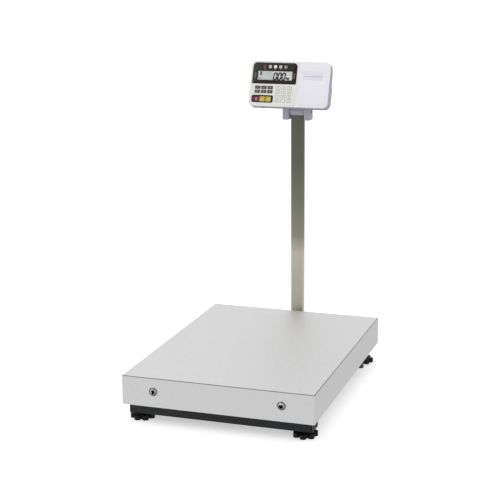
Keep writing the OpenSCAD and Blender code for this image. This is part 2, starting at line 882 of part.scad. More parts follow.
module case_screws() {
  color("#9a9ca0") in_head() for (s = case_screw)
    translate([s[0], s[2], s[1]]) rotate([-90, 0, 0]) {
      cylinder(d = 5, h = 1.8);
      translate([0, 0, 6 - s[2]]) cylinder(d = 3, h = s[2] - 5.9);
    }
}

front_cross_tube();
rear_cross_tube();
base_beam();
base_side_rails();
tube_end_caps();
foot_front_left();
foot_front_right();
foot_rear_left();
foot_rear_right();
foot_lock_nuts();
level_housing();
level_vial();
load_cell();
cell_spacers();
load_cell_bolts();
overload_stops();
platform_beam();
platform_arms();
pan_pads();
pan();
pan_screws();
screw_cups();
pole_bracket();
bracket_bolts();
pole();
pole_bolts();
head_post();
friction_washers();
tilt_bolt();
tilt_nut();
rear_housing();
front_case();
display_bezel();
display_window();
lcd_module();
status_lamps();
number_pad();
key_frame();
key_power();
key_zero();
key_tare();
key_f1();
key_f2();
key_f3();
key_f4();
key_f5();
key_f6();
main_board();
printer_frame();
printer_cover();
cover_pin();
label_roll();
platen_roller();
platen_gear();
feed_motor();
motor_pinion();
print_head();
tear_bar();
power_socket();
case_screws();
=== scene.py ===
# %% [markdown]
# # A label printing bench scale
# The scale is a stainless pan on a black tubular base with four star-knob feet. A
# rectangular pole behind the pan carries a head with a display, keys and a label
# printer. Everything here is built round a packed engineering model, which fixes
# every size and every moving part. Blender adds what the eye reads: rounded edges,
# the moulded panels, the display's digits and each material's finish.

import json
from math import cos, pi, radians, sin, tan

import bmesh
import bpy
from mathutils import Matrix, Vector

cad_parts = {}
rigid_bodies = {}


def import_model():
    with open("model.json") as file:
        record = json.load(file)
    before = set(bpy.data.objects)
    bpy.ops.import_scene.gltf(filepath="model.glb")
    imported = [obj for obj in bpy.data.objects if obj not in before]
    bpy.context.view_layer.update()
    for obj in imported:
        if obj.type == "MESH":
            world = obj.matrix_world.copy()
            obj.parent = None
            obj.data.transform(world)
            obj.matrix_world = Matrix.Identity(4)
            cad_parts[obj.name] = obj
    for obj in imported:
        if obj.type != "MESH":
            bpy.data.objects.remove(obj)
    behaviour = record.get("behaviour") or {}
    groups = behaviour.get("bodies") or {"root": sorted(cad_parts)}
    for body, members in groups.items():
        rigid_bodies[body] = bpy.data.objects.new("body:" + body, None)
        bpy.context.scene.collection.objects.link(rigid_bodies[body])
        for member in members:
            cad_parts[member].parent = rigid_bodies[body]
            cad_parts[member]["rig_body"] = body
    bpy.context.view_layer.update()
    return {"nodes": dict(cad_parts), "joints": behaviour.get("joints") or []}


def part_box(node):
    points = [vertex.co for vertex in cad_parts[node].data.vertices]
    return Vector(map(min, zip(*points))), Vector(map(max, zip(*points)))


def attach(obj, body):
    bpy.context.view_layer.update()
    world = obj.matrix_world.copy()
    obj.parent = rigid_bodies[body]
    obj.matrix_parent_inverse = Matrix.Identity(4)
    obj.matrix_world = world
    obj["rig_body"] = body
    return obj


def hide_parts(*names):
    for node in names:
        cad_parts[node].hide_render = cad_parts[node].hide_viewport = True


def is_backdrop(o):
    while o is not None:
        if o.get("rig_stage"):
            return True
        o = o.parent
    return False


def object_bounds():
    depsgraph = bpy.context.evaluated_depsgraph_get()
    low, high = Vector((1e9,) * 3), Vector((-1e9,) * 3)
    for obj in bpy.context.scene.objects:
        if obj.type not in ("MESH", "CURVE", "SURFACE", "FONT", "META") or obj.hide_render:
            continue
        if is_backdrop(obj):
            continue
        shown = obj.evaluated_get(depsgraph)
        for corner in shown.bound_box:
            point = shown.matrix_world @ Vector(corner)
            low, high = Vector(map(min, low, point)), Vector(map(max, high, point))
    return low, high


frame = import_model()

# %% [markdown]
# ## Where the viewer stands
# A product view of a floor scale is taken from a standing person's eye height, a
# little to the right of the pan's middle. The camera could be aimed with a
# constraint, but plain angles are kept so that every edge lands where it should.
# A long lens keeps the pan's sides nearly parallel, and the small sideways shift
# centres the object without turning the camera.

# %% Camera
MM = 0.001
EYE = (1.212, -3.641, 1.3934)
PITCH_DOWN = radians(13.79)
YAW_LEFT = radians(16.96)

lens = bpy.data.cameras.new("viewer")
lens.sensor_width = 36.0
lens.lens = 89.28
lens.shift_x = -0.084
viewer = bpy.data.objects.new("viewer", lens)
viewer.location = EYE
viewer.rotation_euler = (pi / 2 - PITCH_DOWN, 0.0, YAW_LEFT)
lens.clip_end = 200.0
bpy.context.scene.collection.objects.link(viewer)
bpy.context.scene.camera = viewer
print("lens", lens.lens, "mm, eye height", EYE[2], "m")

# %% [markdown]
# ## Helpers for meshes
# Most pieces are closed shapes with small rounded edges, because real sheet metal
# and moulded plastic never end in a knife edge. One helper turns a finished bmesh
# into an object that rides on its body. A second one cleans a copy of a part of the
# engineering model and breaks its edges with a Bevel modifier. A copy is used
# because the model's own parts are never changed.

# %% Turn a bmesh into a piece
made = {}


def keep(bm, name, body, finish, stands_for=(), place=None, edge=0.0, angle=30):
    """Makes an object of a bmesh, smooth but for its sharp edges, on a body."""
    if place is not None:
        bmesh.ops.transform(bm, matrix=place, verts=bm.verts)
    mesh = bpy.data.meshes.new(name)
    bm.to_mesh(mesh)
    bm.free()
    mesh.shade_smooth()
    mesh.set_sharp_from_angle(angle=radians(angle))
    mesh.materials.append(finish)
    piece = bpy.data.objects.new(name, mesh)
    bpy.context.scene.collection.objects.link(piece)
    if edge:
        rounding = piece.modifiers.new("edges", "BEVEL")
        rounding.width = edge * MM
        rounding.segments = 3 if edge > 0.8 else 2
        rounding.limit_method = "ANGLE"
        rounding.angle_limit = radians(angle)
        rounding.harden_normals = True
    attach(piece, body)
    if stands_for:
        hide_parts(*stands_for)
    made[name] = len(mesh.polygons)
    return piece

# %% Break the edges of a part's copy
SAME_PLACE = 1e-5
SAME_PLANE = radians(0.4)


def soften(node, finish, edge=0.5, angle=30):
    """A merged copy of a part with its edges broken, which stands for the part."""
    source = frame["nodes"][node]
    bm = bmesh.new()
    bm.from_mesh(source.data)
    bmesh.ops.remove_doubles(bm, verts=bm.verts, dist=SAME_PLACE)
    bmesh.ops.dissolve_limit(
        bm, angle_limit=SAME_PLANE, verts=bm.verts, edges=bm.edges
    )
    return keep(
        bm, node + "_finished", source["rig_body"], finish, (node,),
        edge=edge, angle=angle,
    )

# %% [markdown]
# ## Helpers for materials
# A finish is read from its colour, its gloss and its fine relief. Each material
# starts from the Principled shader with values typical of the real one. The fine
# relief comes from noise on Object coordinates, because the pieces sit at the
# origin and the pattern then keeps its real size in millimetres.

# %% Colour, node and base finish
def linear(code):
    """A hex colour as the eye sees it, turned to linear light."""
    parts = [int(code[i : i + 2], 16) / 255 for i in (1, 3, 5)]
    return [c / 12.92 if c <= 0.04045 else ((c + 0.055) / 1.055) ** 2.4 for c in parts] + [1.0]


def add(tree, kind, sockets=None, **settings):
    """Adds a node, sets its settings, and sets or links its sockets."""
    node = tree.nodes.new("ShaderNode" + kind)
    for key, value in settings.items():
        setattr(node, key, value)
    for key, value in (sockets or {}).items():
        if isinstance(value, bpy.types.NodeSocket):
            tree.links.new(value, node.inputs[key])
        else:
            node.inputs[key].default_value = value
    return node


def finish(name, code, rough, metal=0.0, grain=1.0, relief=0.02, mottle=0.06,
           stretch=(1, 1, 1), ior=1.5, clear=0.0, blotch=60.0, shine=0.5):
    """A material: grain and blotch are pattern sizes, and relief its height, in mm."""
    material = bpy.data.materials.new(name)
    material.use_nodes = True
    tree = material.node_tree
    shader = tree.nodes["Principled BSDF"]
    colour = linear(code)
    material.diffuse_color = colour
    shader.inputs["Metallic"].default_value = metal
    if not metal:
        shader.inputs["IOR"].default_value = ior
    shader.inputs["Specular IOR Level"].default_value = shine
    shader.inputs["Coat Weight"].default_value = clear
    place = add(tree, "TexCoord").outputs["Object"]
    size = [1000 / grain / s for s in stretch]
    fine = add(tree, "Mapping", {"Vector": place, "Scale": size})
    specks = add(tree, "TexNoise", {"Vector": fine.outputs[0], "Scale": 1.0,
                                    "Detail": 3.0, "Roughness": 0.6})
    cloud = add(tree, "TexNoise", {"Vector": place, "Scale": 1000 / blotch, "Detail": 3.0})
    both = add(tree, "Mix", {"Factor": 0.5, "A": specks.outputs["Fac"],
                             "B": cloud.outputs["Fac"]})
    dark = [c * (1 - mottle) for c in colour[:3]] + [1.0]
    pale = [min(1.0, c * (1 + mottle) + mottle * 0.01) for c in colour[:3]] + [1.0]
    tint = add(tree, "ValToRGB", {"Fac": both.outputs[0]})
    tint.color_ramp.elements[0].position = 0.3
    tint.color_ramp.elements[0].color = dark
    tint.color_ramp.elements[1].position = 0.7
    tint.color_ramp.elements[1].color = pale
    tree.links.new(tint.outputs[0], shader.inputs["Base Color"])
    gloss = add(tree, "MapRange", {"Value": both.outputs[0], "From Min": 0.3, "From Max": 0.7,
                                   "To Min": rough * 0.85, "To Max": min(1.0, rough * 1.15)})
    tree.links.new(gloss.outputs[0], shader.inputs["Roughness"])
    bump = add(tree, "Bump", {"Height": specks.outputs["Fac"], "Strength": 0.6,
                              "Distance": relief * MM})
    tree.links.new(bump.outputs[0], shader.inputs["Normal"])
    return material

# %% [markdown]
# ## Finishes of the base and the platform
# The base tubes are steel under black powder coat, which dries with a faint orange
# peel. The knobs are moulded nylon. Bright zinc plate covers the bolts and nuts. The
# load cell is a milled aluminium block, so its marks run straight along it.

# %% Base finishes
# powder-coated steel: satin, with shallow waves a few millimetres across
powder = finish("powder_coated_steel", "#12161c", 0.42, grain=2.2, relief=0.05, mottle=0.10,
                shine=0.3)
# the same coat on the frame under the pan, a little greyer and duller
inner_powder = finish("powder_coated_frame", "#2a2d31", 0.48, grain=2.2, relief=0.05, mottle=0.10)
# moulded nylon: deep black, fine spark-eroded texture, soft highlight
nylon = finish("moulded_nylon", "#08080a", 0.50, grain=0.9, relief=0.04, mottle=0.15, ior=1.53,
               shine=0.18)
# zinc-plated steel: bright, faintly blotched by the passivation bath
zinc = finish("zinc_plated_steel", "#b8b8ba", 0.26, metal=1.0, grain=1.5, relief=0.01,
              mottle=0.10, blotch=9.0)
# polished stainless: near mirror, with fine turning marks
polished = finish("polished_stainless", "#cfd0d3", 0.16, metal=1.0, grain=0.8, relief=0.004,
                  mottle=0.03)
# turned stainless of the cups: painted shade makes it darker, for the cone and screw it mirrors
cup_steel_painted_shade = finish("turned_stainless_cup_painted_shade", "#6c6e72", 0.20, metal=1.0, grain=0.8, relief=0.006,
                   mottle=0.06)
# milled aluminium: cutter marks in one direction
milled = finish("milled_aluminium", "#b9bcc0", 0.30, metal=1.0, grain=0.7, relief=0.012,
                stretch=(1, 60, 1), mottle=0.06)
# plain steel plate: darker, with rolling marks
plate_steel = finish("rolled_steel_plate", "#6a6d72", 0.40, metal=1.0, grain=0.8, relief=0.01,
                     stretch=(30, 1, 1), mottle=0.08)
# moulded rubber: no gloss, slightly dusty
rubber = finish("moulded_rubber", "#1a1a1a", 0.72, grain=1.2, relief=0.05, mottle=0.18, ior=1.52)
# silicone rubber of the platen: ground smooth
ground_rubber = finish("ground_silicone_rubber", "#2c2c2e", 0.55, grain=0.5, relief=0.01,
                       mottle=0.08, ior=1.41)
print("base finishes ready")

# %% [markdown]
# ## Brushed stainless sheet
# The pan is folded from one brushed sheet. The brush lines run front to back over
# the top, along the two sides, and turn down over the front and back skirts as the
# sheet does. A single stretched noise would end in dots on the front, so two
# stretched noises are mixed by which way the surface faces. The bends carry a painted
# reflection: their colour is darkened where the surface turns, for the dark part of
# the room that a bend mirrors. Real brush lines are a tenth of a millimetre wide. They
# are drawn about a millimetre wide here, so that they still show from a few steps away.

# %% Brushed stainless sheet
BRUSH_WIDE = 1.1
BRUSH_LONG = 240.0


def brushed(name, code, rough, length_axis, turned=None, spread=0.05, relief=0.012,
            blotch=240.0):
    """Stainless with brush lines along one axis, and another where it faces Y."""
    material = finish(name, code, rough, metal=1.0, grain=BRUSH_WIDE, relief=relief,
                      mottle=spread, blotch=blotch,
                      stretch=[BRUSH_LONG / BRUSH_WIDE if a == length_axis else 1 for a in "XYZ"])
    if turned:
        tree = material.node_tree
        straight = next(n for n in tree.nodes if n.type == "MAPPING")
        specks = straight.outputs[0].links[0].to_node
        place = next(n for n in tree.nodes if n.type == "TEX_COORD").outputs["Object"]
        down = add(tree, "Mapping", {"Vector": place, "Scale": [
            1000 / (BRUSH_LONG if a == turned else BRUSH_WIDE) for a in "XYZ"]})
        facing = add(tree, "SeparateXYZ", {"Vector": add(tree, "NewGeometry").outputs["Normal"]})
        front = add(tree, "Math", {0: facing.outputs["Y"]}, operation="ABSOLUTE")
        mixed = add(tree, "Mix", {"Factor": front.outputs[0], "A": straight.outputs[0],
                                  "B": down.outputs[0]}, data_type="VECTOR")
        tree.links.new(mixed.outputs["Result"], specks.inputs["Vector"])
    return material


sheet_steel = brushed("brushed_stainless_sheet", "#dadada", 0.55, "Y", "Z", spread=0.06,
                      blotch=16.0)
# the tear bar's strip: brighter, brushed along its length
strip_steel = brushed("brushed_stainless_strip", "#c4c5c8", 0.30, "X")
print("brush lines", BRUSH_WIDE, "x", BRUSH_LONG, "mm")

# %% Painted reflection in the pan's bends
# painted reflection: the colour is darkened where the surface turns away from the axes, for the
# dark that a bend mirrors
BEND_PAINTED_REFLECTION = 0.15
tree = sheet_steel.node_tree
shader = tree.nodes["Principled BSDF"]
way = add(tree, "VectorMath", {0: add(tree, "NewGeometry").outputs["Normal"]}, operation="ABSOLUTE")
parts = add(tree, "SeparateXYZ", {"Vector": way.outputs["Vector"]})
larger = add(tree, "Math", {0: parts.outputs["X"], 1: parts.outputs["Y"]}, operation="MAXIMUM")
largest = add(tree, "Math", {0: larger.outputs[0], 1: parts.outputs["Z"]}, operation="MAXIMUM")
bend_painted_reflection = add(tree, "MapRange", {"Value": largest.outputs[0], "From Min": 0.80, "From Max": 0.998,
                              "To Min": BEND_PAINTED_REFLECTION, "To Max": 1.0})
plain = shader.inputs["Base Color"].links[0].from_socket
tone = add(tree, "MixRGB", {"Fac": 1.0, "Color1": plain, "Color2": bend_painted_reflection.outputs[0]},
           blend_type="MULTIPLY")
tree.links.new(tone.outputs[0], shader.inputs["Base Color"])
print("bends are darker by", BEND_PAINTED_REFLECTION)

# %% [markdown]
# ## The pole's finish and its painted reflection
# The pole is a brushed stainless tube with its lines along its length. A painted
# reflection makes it darker and greener near the head and warmer and lighter near the
# floor, as a tall tube is when it mirrors different parts of a room. A colour ramp over
# the height, in real millimetres, paints that reflection, and the brushed pattern is kept on top of
# it.

# %% Pole finish with its painted reflection
LINES_SHOW = 0.35
tube_steel = brushed("brushed_stainless_tube", "#83857a", 0.50, "Z", spread=0.12, relief=0.016,
                     blotch=30.0)
tree = tube_steel.node_tree
shader = tree.nodes["Principled BSDF"]
pole_low, pole_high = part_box("pole")
height = add(tree, "SeparateXYZ", {"Vector": next(
    n for n in tree.nodes if n.type == "TEX_COORD").outputs["Object"]})
share = add(tree, "MapRange", {"Value": height.outputs["Z"], "From Min": pole_low.z,
                               "From Max": pole_high.z})
ramp = add(tree, "ValToRGB", {"Fac": share.outputs[0]})
# painted reflection: colours from the floor end (0) up to the head (1)
PAINTED_REFLECTION_STOPS = [(0.0, "#f6efe0"), (0.40, "#efe8d8"), (0.48, "#a4a48e"), (0.64, "#7c7d69"),
         (0.80, "#565948"), (1.0, "#4a4d41")]
for index, (spot, code) in enumerate(PAINTED_REFLECTION_STOPS):
    element = ramp.color_ramp.elements[index] if index < 2 else ramp.color_ramp.elements.new(spot)
    element.position = spot
    element.color = linear(code)
lines = shader.inputs["Base Color"].links[0].from_socket
shade = add(tree, "MixRGB", {"Fac": LINES_SHOW, "Color1": ramp.outputs[0], "Color2": lines})
tree.links.new(shade.outputs[0], shader.inputs["Base Color"])
print("pole from", round(pole_low.z, 3), "to", round(pole_high.z, 3), "m")

# %% [markdown]
# ## Finishes of the head
# The head's rear housing is lavender ABS with a fine spark-eroded texture, which
# kills reflections. The front case is smooth white ABS, and the printer's part is
# a shade more lilac. The bezel is black polycarbonate, printed from behind, so it
# looks glossy and deep.

# %% Head finishes
# textured ABS: dull and even
lavender = finish("textured_lavender_abs", "#a9a7b3", 0.58, grain=0.8, relief=0.05, mottle=0.04)
# smooth ABS: satin, hardly any relief
white = finish("smooth_white_abs", "#ebeae6", 0.34, grain=1.6, relief=0.006, mottle=0.015)
lilac = finish("smooth_lilac_abs", "#f2f1f8", 0.34, grain=1.6, relief=0.006, mottle=0.015)
# the same plastic, a little duller and darkened by painted shade, for the flaps in the sunk paper
# exit
lilac_painted_shade = finish("lilac_abs_painted_shade", "#eae7f1", 0.40, grain=0.9, relief=0.02, mottle=0.03)
# printed polycarbonate: gloss black with a clear front
bezel_black = finish("printed_polycarbonate", "#2a2422", 0.24, grain=3.0, relief=0.003,
                     mottle=0.10, ior=1.45)
# satin black frame round the large keys
frame_black = finish("moulded_black_abs", "#141214", 0.28, grain=1.2, relief=0.01, mottle=0.10)
# silicone-coated keys: soft sheen
key_grey = finish("coated_grey_keys", "#4c4c4a", 0.40, grain=0.8, relief=0.015, mottle=0.05)
key_magenta = finish("glossy_magenta_keys", "#7c2248", 0.24, grain=1.0, relief=0.01, mottle=0.05,
                     clear=0.3)
key_yellow = finish("glossy_yellow_keys", "#c6b044", 0.26, grain=1.0, relief=0.01, mottle=0.05,
                    clear=0.3)
# printed polyester membrane: white, faintly glossy
membrane = finish("printed_polyester", "#eeeee8", 0.30, grain=1.2, relief=0.008, mottle=0.015)
# screen-printed inks: flat and dull, so they read as print and not as relief
ink_grey = finish("grey_print", "#454541", 0.45, grain=0.5, relief=0.001, mottle=0.04)
ink_white = finish("white_print", "#ece8d8", 0.45, grain=0.5, relief=0.001, mottle=0.03)
ink_dim = finish("dim_legend_print", "#b8aaa2", 0.45, grain=0.5, relief=0.001, mottle=0.05)
print("head finishes ready")

# %% [markdown]
# ## Small finishes inside the head
# The printer and the board are seen when the door is open. The board is green
# solder mask over glass laminate. The label paper is coated on its face and shows
# its turns on the sides. The gears are natural acetal and brass.

# %% Printer and board finishes
# solder mask over laminate: glossy green, lightly uneven where copper lies under it
solder_mask = finish("solder_masked_laminate", "#1f5a3a", 0.24, grain=2.0, relief=0.02,
                     mottle=0.14, clear=0.4)
# glass-filled nylon: dull dark grey, with a mottle from the fibres at its surface
glass_nylon = finish("glass_filled_nylon", "#3a3b40", 0.50, grain=0.6, relief=0.03, mottle=0.12)
# coated label paper: matt white, with faint lines across the strip
paper = finish("coated_label_paper", "#f4f3ee", 0.60, grain=0.25, relief=0.02, mottle=0.04,
               stretch=(400, 1, 1))
# natural acetal: waxy off-white
acetal = finish("natural_acetal", "#e6e2d6", 0.38, grain=1.0, relief=0.006, mottle=0.03, ior=1.48)
# turned brass: bright and warm, with fine tool marks
brass = finish("turned_brass", "#c8a85a", 0.22, metal=1.0, grain=0.3, relief=0.006, mottle=0.06)
# nickel-plated can: a bright grey metal
nickel = finish("nickel_plated_can", "#8d8f94", 0.24, metal=1.0, grain=1.2, relief=0.005,
                mottle=0.06)
# glazed ceramic of the print head: smooth and tan
ceramic = finish("glazed_ceramic", "#c7b48a", 0.18, grain=2.0, relief=0.003, mottle=0.05, ior=1.7)
# moulded black plastic: satin, finely textured
moulded_black = finish("moulded_black_plastic", "#1b1b1d", 0.42, grain=0.9, relief=0.03,
                       mottle=0.12)
# moulded dark plastic of the level's housing: a shade paler
dark_plastic = finish("moulded_dark_plastic", "#2b2b2e", 0.40, grain=0.9, relief=0.03, mottle=0.1)
print("inner finishes ready")

# %% [markdown]
# ## Parts that keep their engineered shape
# Tubes, bolts, nuts, spacers and brackets are already right in shape. They only
# lack the small radius that bending, casting or deburring leaves, so each gets a
# merged copy with its edges broken by the radius that fits how it was made.

# %% Base, platform and pole
EDGES = [
    (powder, 0.8, ["front_cross_tube", "rear_cross_tube", "base_beam", "base_side_rails"]),
    (powder, 0.8, ["pole_bracket"]),
    (inner_powder, 0.8, ["platform_beam", "platform_arms"]),
    (nylon, 0.9, ["tube_end_caps"]),
    (nylon, 2.0, ["foot_front_left", "foot_front_right", "foot_rear_left", "foot_rear_right"]),
    (zinc, 0.4, ["foot_lock_nuts", "bracket_bolts", "pole_bolts", "load_cell_bolts",
                 "overload_stops", "tilt_bolt", "tilt_nut", "cover_pin"]),
    (zinc, 0.2, ["case_screws"]),
    (milled, 0.5, ["load_cell"]),
    (plate_steel, 0.4, ["cell_spacers"]),
    (rubber, 1.2, ["pan_pads"]),
    (sheet_steel, 0.35, ["pan"]),
    (cup_steel_painted_shade, 0.3, ["screw_cups"]),
    (polished, 0.3, ["pan_screws"]),
    (tube_steel, 0.4, ["pole"]),
    (dark_plastic, 0.5, ["level_housing"]),
    (acetal, 0.2, ["friction_washers", "platen_gear"]),
    (lavender, 1.6, ["rear_housing"]),
    (lavender, 1.0, ["head_post"]),
    (solder_mask, 0.2, ["main_board"]),
    (glass_nylon, 0.3, ["printer_frame"]),
    (ground_rubber, 0.3, ["platen_roller"]),
    (brass, 0.05, ["motor_pinion"]),
    (nickel, 0.6, ["feed_motor"]),
    (ceramic, 0.2, ["print_head"]),
    (strip_steel, 0.1, ["tear_bar"]),
    (moulded_black, 0.5, ["power_socket"]),
]
softened = {}
for look, edge, names in EDGES:
    for name in names:
        softened[name] = soften(name, look, edge)
print(len(made), "parts softened,", sum(made.values()), "faces before the modifiers")

# %% Painted shade in the sockets of the pan screws
SOCKET_R = 4.7
SOCKET_DEEP = 3.4
# painted shade in the pressed sockets: nearly black, so the hexagon reads from afar
socket_painted_shade = finish("painted_shade_in_screw_socket", "#17181a", 0.45, metal=1.0, grain=0.8, relief=0.01,
               mottle=0.10)
screws = softened["pan_screws"].data
screws.materials.append(socket_painted_shade)
screw_low, screw_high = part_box("pan_screws")
head_r = (screw_high.z - screw_low.z) / 2
shaded_socket_faces = 0
for face in screws.polygons:
    side = screw_high.x - head_r if face.center.x > 0 else screw_low.x + head_r
    away = Vector((face.center.x - side, face.center.z - screw_low.z - head_r)).length
    if away < SOCKET_R * MM and face.center.y < screw_low.y + SOCKET_DEEP * MM:
        face.material_index = 1
        shaded_socket_faces += 1
print("socket faces:", shaded_socket_faces)

# %% [markdown]
# ## The head's own frame
# The head leans back, so its pieces are easiest to draw flat, in millimetres, and
# to turn into place at the end. The direction in which a key travels points
# straight into the face. That gives the three axes, and the front case gives the
# middle of the face.

# %% Axes of the head
def joint(name):
    """A joint of the engineering model, by its name."""
    return next(j for j in frame["joints"] if j["name"] == name)


BACK = Vector(joint("key_power_press")["axis"]).normalized()
RIGHT = Vector((1.0, 0.0, 0.0))
UP = RIGHT.cross(BACK)


def reach(node, axis):
    """How far a part goes along an axis, in m: from and to."""
    values = [axis.dot(v.co) for v in frame["nodes"][node].data.vertices]
    return min(values), max(values)


face_x, face_y, face_z = (reach("front_case", axis) for axis in (RIGHT, BACK, UP))
middle = RIGHT * sum(face_x) / 2 + BACK * face_y[0] + UP * sum(face_z) / 2
HEAD = (Matrix.Translation(middle) @ Matrix((RIGHT, BACK, UP)).transposed().to_4x4()
        @ Matrix.Scale(MM, 4))


def limits(node):
    """A part's box in the head's frame, in mm: x from and to, z from and to, y from and to."""
    inside = HEAD.inverted()
    points = [inside @ v.co for v in frame["nodes"][node].data.vertices]
    return [f(p[i] for p in points) for i in (0, 2, 1) for f in (min, max)]


def grow(box, by):
    """A box of x and z, wider by as much on every side."""
    return [box[0] - by, box[1] + by, box[2] - by, box[3] + by]


panel_box = limits("front_case")
print("front of the head, mm:", [round(v, 1) for v in panel_box])

# %% [markdown]
# ## Rings, walls and caps
# A moulded panel is a stack of round-cornered outlines at different depths. Each
# outline is one quad whose corners are bevelled. Bridging the outlines gives the
# walls and the rounded edge, and filling between outlines gives the flats with
# their openings. This keeps every radius exact, where a Boolean would leave slivers.

# %% Draw outlines and join them
# steps of a corner, its smallest radius, and how close points are when they merge
ARC = 6
SHARPEST = 0.05
MERGE = 1e-4


def ring(bm, box, radius, y, arc=ARC):
    """A round-cornered outline at depth y. radius is one number, or top and bottom."""
    top, bottom = radius if isinstance(radius, tuple) else (radius, radius)
    verts = bmesh.ops.create_grid(bm, x_segments=1, y_segments=1, size=0.5)["verts"]
    bmesh.ops.scale(bm, vec=(box[1] - box[0], box[3] - box[2], 1), verts=verts)
    high = [v for v in verts if v.co.y > 0]
    low = [v for v in verts if v.co.y <= 0]
    before = set(bm.verts) - set(verts)
    for corners, size in ((high, top), (low, bottom)):
        bmesh.ops.bevel(bm, geom=corners, offset=max(size, SHARPEST), segments=arc,
                        profile=0.5, affect="VERTICES", material=-1)
    verts = [v for v in bm.verts if v not in before]
    bmesh.ops.rotate(bm, matrix=Matrix.Rotation(pi / 2, 3, "X"), verts=verts)
    bmesh.ops.translate(
        bm, vec=((box[0] + box[1]) / 2, y, (box[2] + box[3]) / 2), verts=verts)
    face = verts[0].link_faces[0]
    edges = list(face.edges)
    bmesh.ops.delete(bm, geom=[face], context="FACES_ONLY")
    return edges


def shift_radius(radius, by):
    """A radius, or a pair of them, with a growth added."""
    return tuple(r + by for r in radius) if isinstance(radius, tuple) else radius + by


def stack(bm, box, radius, steps, arc=ARC):
    """Bridges one outline through steps of depth and growth, and returns all rings."""
    rings = [ring(bm, grow(box, by), shift_radius(radius, by), y, arc) for y, by in steps]
    for one, other in zip(rings, rings[1:]):
        bmesh.ops.bridge_loops(bm, edges=one + other)
    return rings

# %% Flats, rounded edges and blocks
def fill(bm, *rings):
    """Fills the flat between an outline and the openings in it."""
    edges = [e for one in rings for e in one]
    if len(rings) == 1:
        bmesh.ops.edgeloop_fill(bm, edges=edges)
    else:
        bmesh.ops.triangle_fill(bm, edges=edges, use_beauty=True, use_dissolve=False)


def front_round(y, radius, count=4):
    """Steps of depth and growth for a front edge, round or with its own depth and width."""
    deep, wide = radius if isinstance(radius, tuple) else (radius, radius)
    return [(y + deep * (1 - sin(pi / 2 * i / count)), -wide * (1 - cos(pi / 2 * i / count)))
            for i in range(count + 1)]


def tablet(bm, box, radius, back, front, edge, dish=()):
    """A closed round-cornered block with a rounded front edge and a shallow dish."""
    rings = stack(bm, box, radius, [(back, 0.0)] + front_round(front, edge)
                  + [(front + deep, -edge - inset) for inset, deep in dish])
    fill(bm, rings[0])
    fill(bm, rings[-1])

# %% Closed plates
# depth of a recess, and the rounded edge and the rims of the plate that fills it
RECESS = 1.2
PLATE_EDGE = 0.5
RIM = 0.3


def close_up(bm):
    """Merges doubles, turns the faces outwards, and counts the edges left open."""
    bmesh.ops.remove_doubles(bm, verts=bm.verts, dist=MERGE)
    bmesh.ops.recalc_face_normals(bm, faces=bm.faces)
    return sum(not e.is_manifold for e in bm.edges)


def holed_plate(box, radius, holes):
    """A thin plate with a rounded front edge and a rim round each hole."""
    bm = bmesh.new()
    rings = stack(bm, box, radius, [(RECESS, 0.0)] + front_round(box[4], PLATE_EDGE))
    fronts, backs = [rings[-1]], [rings[0]]
    for hole, corner in holes:
        walls = stack(bm, hole, corner, [(box[4], RIM), (box[4] + RIM, 0.0), (RECESS, 0.0)])
        fronts.append(walls[0])
        backs.append(walls[-1])
    fill(bm, *fronts)
    fill(bm, *backs)
    return bm


def thicken(bm, faces, by):
    """Gives flat faces a thickness: by mm backwards, or forwards where it is negative."""
    thick = bmesh.ops.extrude_face_region(bm, geom=faces)["geom"]
    bmesh.ops.translate(bm, vec=(0, by, 0),
                        verts=[v for v in thick if isinstance(v, bmesh.types.BMVert)])


def block(name, look, slot, *shape):
    """A tablet that rides on the head and stands for a part."""
    bm = bmesh.new()
    tablet(bm, *shape)
    close_up(bm)
    return keep(bm, name, "head", look, (slot,), HEAD)

# %% [markdown]
# ## The white panel and the printer's frame
# The front of the head looks like one sheet with a fine line down it: a white part
# with the display and keys, and a lilac part round the printer's door. Both are
# drawn as one plate with its openings and recesses and then cut at the line, so
# that their edges match along it. The plate's front edge is rounded more along the
# bottom and the right, where a moulded front has room for it.

# %% Openings of the front
# boxes of the parts that sit in the front
bezel_box = limits("display_bezel")
glass_box = limits("display_window")
frame_box = limits("key_frame")
pad_box = limits("number_pad")
door_box = limits("printer_cover")
F_KEYS = [f"key_f{i}" for i in range(1, 7)]
BIG_KEYS = ["key_power", "key_zero", "key_tare"]
# how far a key's skirt reaches past its cap, and the fine line down the front
KEY_SKIRT = 1.0
SPLIT = 29.0
LINE = 0.35
# the front edge: how deep it is rounded, and how far in at left, right, bottom and top
EDGE_DEPTH = 3.4
EDGE_IN = (2.4, 6.4, 5.8, 2.4)
EDGE_STEPS = 6
CORNER = 16.0
CORNER_ARC = 12
# thickness of the plate, depth of the lip round it, and a softened rim
PLATE = 2.5
RETURN = 4.0
SOFT = [(0.0, 0.25), (0.08, 0.08), (0.25, 0.0)]
# room round each part in its opening, and corner radii
SEAT_GAP = 0.2
GLASS_GAP, GLASS_R = 1.5, 1.0
PAD_GAP, PAD_R, PAD_BED = 0.15, 2.1, 0.4
BIG_KEY_GAP, BIG_KEY_R = 0.4, 2.4
F_KEY_GAP, F_KEY_R = 0.35, 1.4
BEZEL_R = (13.0, 4.0)
FRAME_R = 6.0
DOOR_R = (3.2, 0.3)
print("display, keys, pad and door, mm:", [[round(v, 1) for v in b[:4]] for b in (
    bezel_box, frame_box, pad_box, door_box)])

